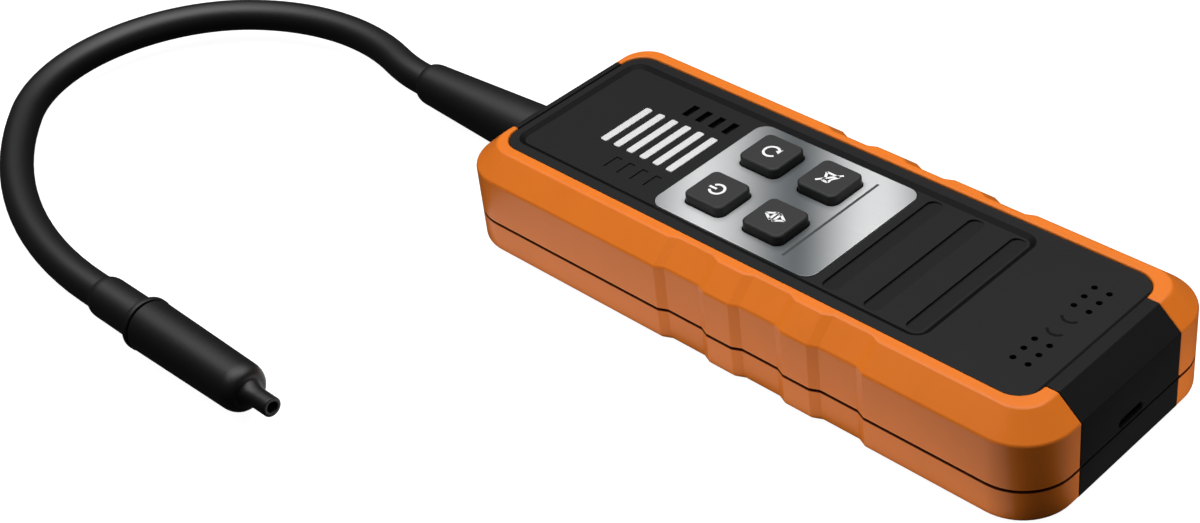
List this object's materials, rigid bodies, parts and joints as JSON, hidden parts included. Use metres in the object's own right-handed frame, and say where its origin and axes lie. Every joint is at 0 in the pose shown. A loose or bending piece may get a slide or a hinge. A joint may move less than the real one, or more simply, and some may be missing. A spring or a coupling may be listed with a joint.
{
  "type": "refrigerant leak detector",
  "caption": "Handheld refrigerant leak detector: soft-gripped case with a keypad and light bars, and a bendable neck with a sensor probe and pull-off cap.",
  "frame": {"origin": "centre of the case's flat back, which it lies on", "axes": "+X along the case to its charging end, away from the neck; +Y to the right-hand side; +Z out of the keypad face"},
  "size_m": [0.3286, 0.1556, 0.0291],
  "materials": {
    "housing_plastic": "fine moulded grain, satin black",
    "grip_rubber": "matt orange overmoulded grip",
    "panel_plastic": "fine moulded grain, dark grey",
    "plate_metal": "fine brushed, satin",
    "key_rubber": "matt charcoal with white printed symbols",
    "guide_plastic": "milky white diffuser",
    "lamp_white": "clear cast lamp",
    "board_green": "green solder mask",
    "switch_black": "moulded black",
    "socket_steel": "bright plated shell",
    "battery_wrap": "shrink wrap",
    "screw_steel": "zinc plated",
    "neck_rubber": "satin black sleeve",
    "nut_brass": "turned",
    "probe_plastic": "satin black",
    "seal_rubber": "smooth black",
    "sensor_steel": "plain can",
    "filter_felt": "white felt"
  },
  "bodies": {
    "case": {"upper_housing": "housing_plastic", "lower_housing": "housing_plastic", "left_upper_grip": "grip_rubber", "right_upper_grip": "grip_rubber", "left_lower_grip": "grip_rubber", "right_lower_grip": "grip_rubber", "front_panel": "panel_plastic", "keypad_plate": "plate_metal", "light_guide": "guide_plastic", "indicator_leds": "lamp_white", "circuit_board": "board_green", "key_switches": "switch_black", "processor_chip": "switch_black", "buzzer": "switch_black", "charging_socket": "socket_steel", "battery": "battery_wrap", "case_screws": "screw_steel", "board_screws": "screw_steel", "neck_boot": "neck_rubber", "neck_nut": "nut_brass", "gooseneck": "neck_rubber", "probe_sleeve": "neck_rubber", "probe_collar": "probe_plastic", "seal_ring": "seal_rubber", "sensor": "sensor_steel"},
    "power_button": {"power_button": "key_rubber"},
    "reset_button": {"reset_button": "key_rubber"},
    "sensitivity_button": {"sensitivity_button": "key_rubber"},
    "mute_button": {"mute_button": "key_rubber"},
    "probe_cap": {"probe_cap": "probe_plastic", "filter_disc": "filter_felt"}
  },
  "joints": [
    {"name": "power_button_press", "type": "slide", "parent": "case", "child": "power_button", "axis": [0, 0, -1], "range_m": [0, 0.0008], "stiffness_N_per_m": 800, "springref_m": -0.0005},
    {"name": "reset_button_press", "type": "slide", "parent": "case", "child": "reset_button", "axis": [0, 0, -1], "range_m": [0, 0.0008], "stiffness_N_per_m": 800, "springref_m": -0.0005},
    {"name": "sensitivity_button_press", "type": "slide", "parent": "case", "child": "sensitivity_button", "axis": [0, 0, -1], "range_m": [0, 0.0008], "stiffness_N_per_m": 800, "springref_m": -0.0005},
    {"name": "mute_button_press", "type": "slide", "parent": "case", "child": "mute_button", "axis": [0, 0, -1], "range_m": [0, 0.0008], "stiffness_N_per_m": 800, "springref_m": -0.0005},
    {"name": "cap_pull", "type": "slide", "parent": "case", "child": "probe_cap", "axis": [1, 0, 0], "range_m": [0, 0.0185]}
  ]
}
